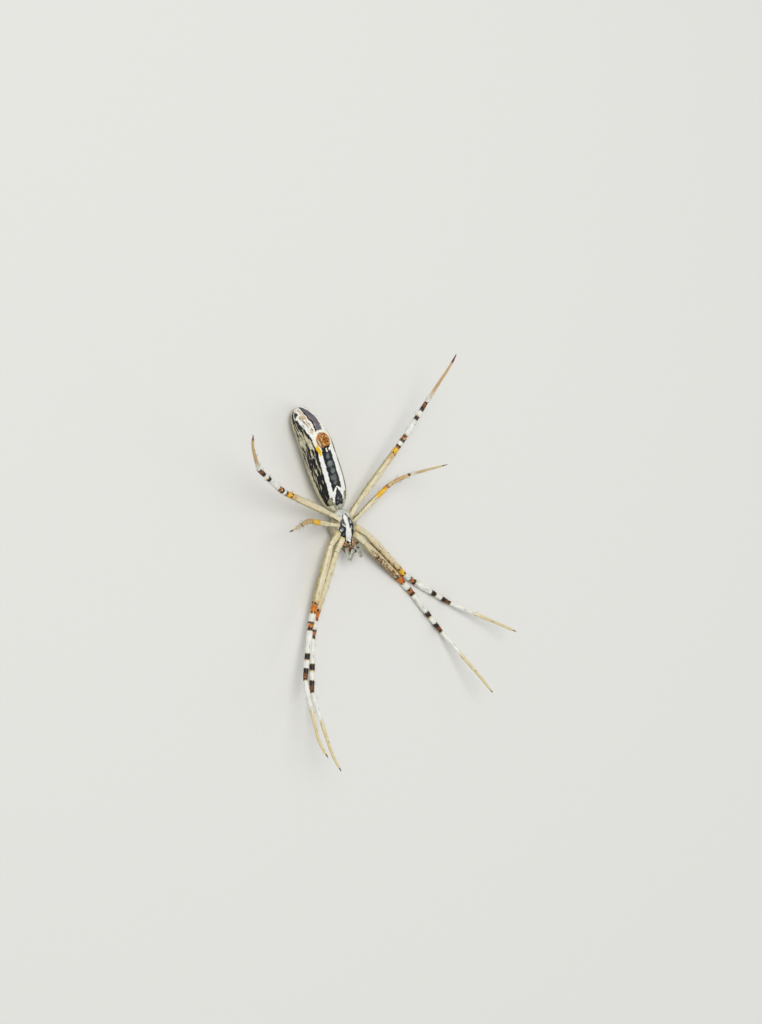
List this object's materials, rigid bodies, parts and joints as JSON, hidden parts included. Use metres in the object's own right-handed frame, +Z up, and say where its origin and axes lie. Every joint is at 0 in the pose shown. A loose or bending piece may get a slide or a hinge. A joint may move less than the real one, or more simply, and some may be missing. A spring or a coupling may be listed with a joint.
{
  "type": "orb weaver spider",
  "caption": "Long-tailed female orb weaver with banded legs, life size, a still display model that rests on its back with its belly up and its feet raised.",
  "frame": {"origin": "middle of the whole model's footprint, on the floor it rests on", "axes": "+Z up, out of the belly; -Y towards the head and +Y towards the tail; -X towards the spider's own left legs"},
  "size_m": [0.0408, 0.0476, 0.0139],
  "materials": {
    "carapace": "thin hard cuticle under short silvery hair, black sternum with a white stripe",
    "pedicel": "soft pale cuticle",
    "abdomen": "soft satin cuticle, cream and white with black and slate bands",
    "spinnerets": "orange-brown hairy cuticle",
    "chelicera": "smooth amber-brown cuticle",
    "palp": "pale grey-white hairy cuticle",
    "eye": "glossy black lens",
    "leg": "cream cuticle with orange joints, white and black-brown rings and fine hairs"
  },
  "bodies": {
    "root": {"cephalothorax": "carapace", "pedicel": "pedicel", "abdomen": "abdomen", "spinnerets": "spinnerets", "chelicera_left": "chelicera", "palp_left": "palp", "eye_front_median_left": "eye", "eye_rear_median_left": "eye", "eye_front_lateral_left": "eye", "eye_rear_lateral_left": "eye", "chelicera_right": "chelicera", "palp_right": "palp", "eye_front_median_right": "eye", "eye_rear_median_right": "eye", "eye_front_lateral_right": "eye", "eye_rear_lateral_right": "eye", "leg_1_left_coxa": "leg", "leg_1_left_femur": "leg", "leg_1_left_patella": "leg", "leg_1_left_tibia": "leg", "leg_1_left_foot": "leg", "leg_1_right_coxa": "leg", "leg_1_right_femur": "leg", "leg_1_right_patella": "leg", "leg_1_right_tibia": "leg", "leg_1_right_foot": "leg", "leg_2_left_coxa": "leg", "leg_2_left_femur": "leg", "leg_2_left_patella": "leg", "leg_2_left_tibia": "leg", "leg_2_left_foot": "leg", "leg_2_right_coxa": "leg", "leg_2_right_femur": "leg", "leg_2_right_patella": "leg", "leg_2_right_tibia": "leg", "leg_2_right_foot": "leg", "leg_3_left_coxa": "leg", "leg_3_left_femur": "leg", "leg_3_left_patella": "leg", "leg_3_left_tibia": "leg", "leg_3_left_foot": "leg", "leg_3_right_coxa": "leg", "leg_3_right_femur": "leg", "leg_3_right_patella": "leg", "leg_3_right_tibia": "leg", "leg_3_right_foot": "leg", "leg_4_left_coxa": "leg", "leg_4_left_femur": "leg", "leg_4_left_patella": "leg", "leg_4_left_tibia": "leg", "leg_4_left_foot": "leg", "leg_4_right_coxa": "leg", "leg_4_right_femur": "leg", "leg_4_right_patella": "leg", "leg_4_right_tibia": "leg", "leg_4_right_foot": "leg"}
  },
  "joints": []
}
